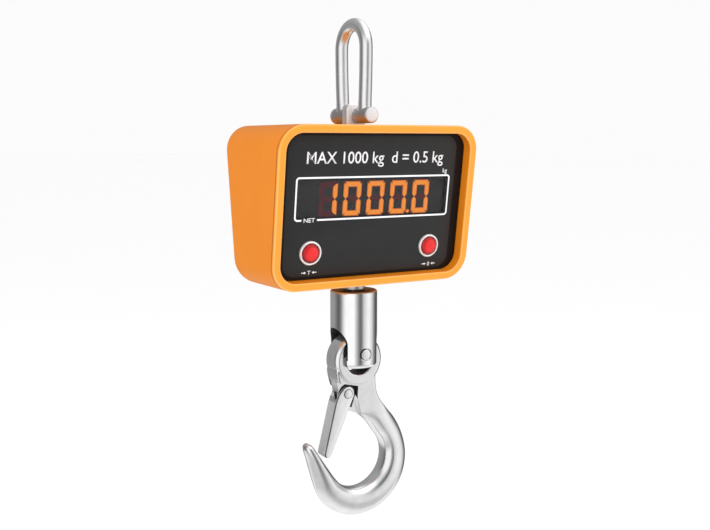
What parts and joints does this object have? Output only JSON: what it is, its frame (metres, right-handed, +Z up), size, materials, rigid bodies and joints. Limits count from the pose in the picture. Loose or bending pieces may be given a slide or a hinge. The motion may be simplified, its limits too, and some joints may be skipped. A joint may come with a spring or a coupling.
{
  "type": "crane scale",
  "caption": "Hanging crane scale: shackle, wedge-shaped indicator housing with lit digits and push buttons, swivel sleeve and hook with a sprung safety latch.",
  "frame": {"origin": "inside of the shackle crown, the point the scale hangs from", "axes": "+Z up along the load line, -Y the way the display faces, +X to the right as seen from the front"},
  "size_m": [0.193, 0.1068, 0.4364],
  "materials": {
    "polished_steel": "polished",
    "steel": "satin",
    "zinc": "zinc plated",
    "forged_steel": "satin forging",
    "cell_alloy": "machined",
    "housing_paint": "satin powder coat",
    "panel_plastic": "satin",
    "seal_rubber": "matt",
    "window_plastic": "tinted",
    "display_plastic": "matt",
    "lit": "glowing",
    "unlit": "satin",
    "board": "satin",
    "brass": "satin",
    "bezel_metal": "satin",
    "cap_red": "gloss",
    "spring_steel": "bright",
    "battery_wrap": "satin",
    "jack_plastic": "satin"
  },
  "bodies": {
    "shackle": {"shackle": "polished_steel", "shackle_pin": "polished_steel", "shackle_pin_nut": "polished_steel"},
    "housing": {"housing_shell": "housing_paint", "top_seal": "seal_rubber", "bottom_seal": "seal_rubber", "lifting_eye": "steel", "mounting_plate": "zinc", "mounting_screws": "zinc", "load_cell": "cell_alloy", "swivel_stud": "steel", "stud_nut": "zinc", "split_pin": "zinc", "bearing_lower_race": "steel", "bearing_cage": "brass", "front_panel": "panel_plastic", "panel_seal": "seal_rubber", "display_window": "window_plastic", "display_block": "display_plastic", "lit_segments": "lit", "unlit_segments": "unlit", "display_board": "board", "board_spacers": "brass", "board_screws": "zinc", "tare_switch": "bezel_metal", "zero_switch": "bezel_metal", "switch_nuts": "zinc", "tare_spring": "spring_steel", "zero_spring": "spring_steel", "main_board": "board", "battery_pack": "battery_wrap", "battery_bracket": "zinc", "rear_cover": "housing_paint", "rear_gasket": "seal_rubber", "rear_screws": "zinc", "charge_jack": "jack_plastic", "charge_jack_nut": "zinc"},
    "tare_button": {"tare_button": "cap_red"},
    "zero_button": {"zero_button": "cap_red"},
    "swivel": {"swivel_sleeve": "steel", "clevis_pin": "steel", "bearing_upper_race": "steel"},
    "hook": {"hook": "forged_steel", "latch_pin": "zinc", "latch_spring": "spring_steel"},
    "latch": {"latch": "zinc"}
  },
  "joints": [
    {"name": "shackle_hinge", "type": "hinge", "parent": "shackle", "child": "housing", "pos_m": [0, 0, -0.0705], "axis": [0, 1, 0], "range_deg": [-90, 90]},
    {"name": "sleeve_swivel", "type": "hinge", "parent": "housing", "child": "swivel", "pos_m": [0, 0, -0.255], "axis": [0, 0, 1], "continuous": true},
    {"name": "hook_hinge", "type": "hinge", "parent": "swivel", "child": "hook", "pos_m": [0, 0, -0.27525], "axis": [0, 1, 0], "range_deg": [-45, 45]},
    {"name": "latch_hinge", "type": "hinge", "parent": "hook", "child": "latch", "pos_m": [-0.0099, 0, -0.31155], "axis": [0, -1, 0], "range_deg": [0, 36], "stiffness_Nm_per_rad": 0.06, "springref_deg": -40.11, "deforming": ["latch_spring"]},
    {"name": "tare_press", "type": "slide", "parent": "housing", "child": "tare_button", "axis": [0, 0.9914, 0.1305], "range_m": [0, 0.0015], "stiffness_N_per_m": 400, "springref_m": -0.002, "deforming": ["tare_spring"]},
    {"name": "zero_press", "type": "slide", "parent": "housing", "child": "zero_button", "axis": [0, 0.9914, 0.1305], "range_m": [0, 0.0015], "stiffness_N_per_m": 400, "springref_m": -0.002, "deforming": ["zero_spring"]}
  ]
}
